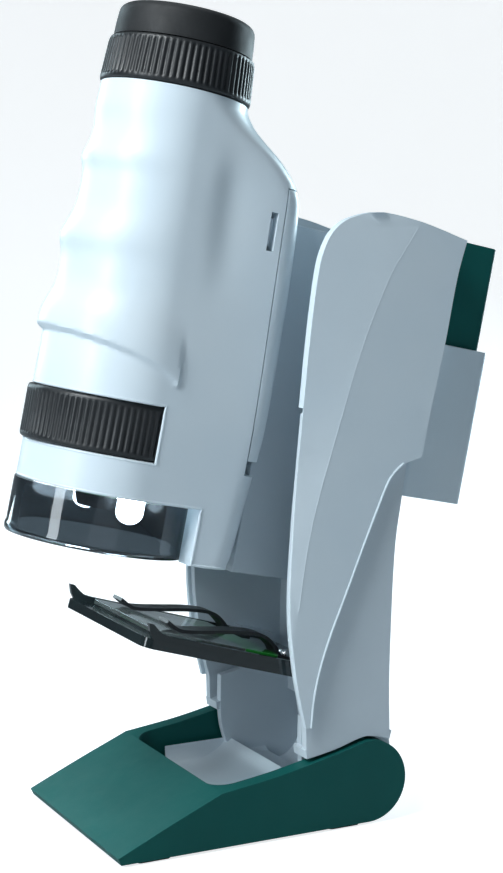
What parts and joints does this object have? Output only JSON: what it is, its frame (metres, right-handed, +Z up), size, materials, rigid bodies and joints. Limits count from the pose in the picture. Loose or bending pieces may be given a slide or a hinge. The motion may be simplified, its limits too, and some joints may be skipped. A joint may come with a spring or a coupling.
{
  "type": "kids microscope",
  "caption": "Hand-held zoom microscope tube with finger grips, docked on a white tower with a sloping clear stage, a rear storage case and a forked green base.",
  "frame": {"origin": "on the table, under the middle of the object's overall box", "axes": "+X across the object, to the right of someone facing its front; +Y from the toe of the base to its back; +Z up"},
  "size_m": [0.055, 0.1177, 0.1854],
  "materials": {
    "white_plastic": "satin moulded white with a cool tint",
    "green_plastic": "satin moulded deep green",
    "black_plastic": "satin black",
    "rubber": "soft matte",
    "clear_plastic": "polished clear, slightly smoky",
    "smoke_plastic": "polished dark smoke",
    "lens_glass": "polished lens",
    "steel": "bright plated steel",
    "brass": "plated spring strip",
    "circuit_board": "green solder mask",
    "lamp": "clear lamp dome, lit",
    "battery_jacket": "plain printed jacket"
  },
  "bodies": {
    "base": {"base_fork": "green_plastic", "foot_front_left": "rubber", "foot_front_right": "rubber", "foot_rear_left": "rubber", "foot_rear_right": "rubber", "hinge_washer_left": "steel", "hinge_washer_right": "steel"},
    "tower": {"tower_column": "white_plastic", "tower_shell": "white_plastic", "tower_screw_1": "steel", "tower_screw_2": "steel", "tube_saddle": "white_plastic", "rear_sleeve": "white_plastic", "stage_plate": "smoke_plastic", "clip_rivet_left": "steel", "clip_rivet_right": "steel"},
    "tube": {"tube_body": "white_plastic", "inner_barrel": "black_plastic", "clear_tip": "clear_plastic", "lamp_board": "circuit_board", "lamp_left": "lamp", "lamp_right": "lamp", "battery_left": "battery_jacket", "battery_right": "battery_jacket", "contact_low": "brass", "contact_high_left": "brass", "contact_high_right": "brass"},
    "eyepiece": {"zoom_ring": "black_plastic", "eyecup": "rubber", "eye_lens": "lens_glass"},
    "zoom_group": {"zoom_carriage": "black_plastic", "zoom_lens": "lens_glass"},
    "focus_knob": {"focus_ring": "black_plastic"},
    "objective": {"objective_holder": "black_plastic", "objective_lens": "lens_glass"},
    "button": {"power_button": "black_plastic"},
    "cover": {"battery_cover": "white_plastic"},
    "case": {"storage_case": "green_plastic"},
    "clip_left": {"clip_left": "black_plastic"},
    "clip_right": {"clip_right": "black_plastic"},
    "specimen": {"specimen_slide": "clear_plastic"}
  },
  "joints": [
    {"name": "tower_tilt", "type": "hinge", "parent": "base", "child": "tower", "pos_m": [0, 0.0178, 0.0102], "axis": [-1, 0, 0], "range_deg": [0, 15]},
    {"name": "tube_lift", "type": "slide", "parent": "tower", "child": "tube", "axis": [0, 0.2028, 0.9792], "range_m": [0, 0.08]},
    {"name": "zoom_turn", "type": "hinge", "parent": "tube", "child": "eyepiece", "pos_m": [0, -0.01702, 0.17038], "axis": [0, 0.2028, 0.9792], "range_deg": [0, 90]},
    {"name": "zoom_travel", "type": "slide", "parent": "tube", "child": "zoom_group", "axis": [0, -0.2028, -0.9792], "range_m": [0, 0.008]},
    {"name": "focus_turn", "type": "hinge", "parent": "tube", "child": "focus_knob", "pos_m": [0, -0.03314, 0.09254], "axis": [0, 0.2028, 0.9792], "range_deg": [-60, 60]},
    {"name": "objective_travel", "type": "slide", "parent": "tube", "child": "objective", "axis": [0, 0.2028, 0.9792], "range_m": [-0.002, 0.002]},
    {"name": "power_press", "type": "slide", "parent": "tube", "child": "button", "axis": [0, -0.8161, -0.5779], "range_m": [0, 0.0012], "stiffness_N_per_m": 400, "springref_m": -0.001},
    {"name": "cover_slide", "type": "slide", "parent": "tube", "child": "cover", "axis": [0, -0.2028, -0.9792], "range_m": [0, 0.003]},
    {"name": "case_lift", "type": "slide", "parent": "tower", "child": "case", "axis": [0, 0.2028, 0.9792], "range_m": [0, 0.06]},
    {"name": "clip_left_swing", "type": "hinge", "parent": "tower", "child": "clip_left", "pos_m": [-0.013, 0.00311, 0.03736], "axis": [0, 0.284, 0.9588], "range_deg": [-40, 10]},
    {"name": "clip_right_swing", "type": "hinge", "parent": "tower", "child": "clip_right", "pos_m": [0.013, 0.00311, 0.03736], "axis": [0, 0.284, 0.9588], "range_deg": [-10, 40]},
    {"name": "specimen_pull", "type": "slide", "parent": "tower", "child": "specimen", "axis": [0, -0.9588, 0.284], "range_m": [0, 0.04]}
  ],
  "couplings": [
    {"joint": "zoom_travel", "follows": "zoom_turn", "m_per_rad": 0.005093},
    {"joint": "objective_travel", "follows": "focus_turn", "m_per_rad": 0.0019099}
  ]
}
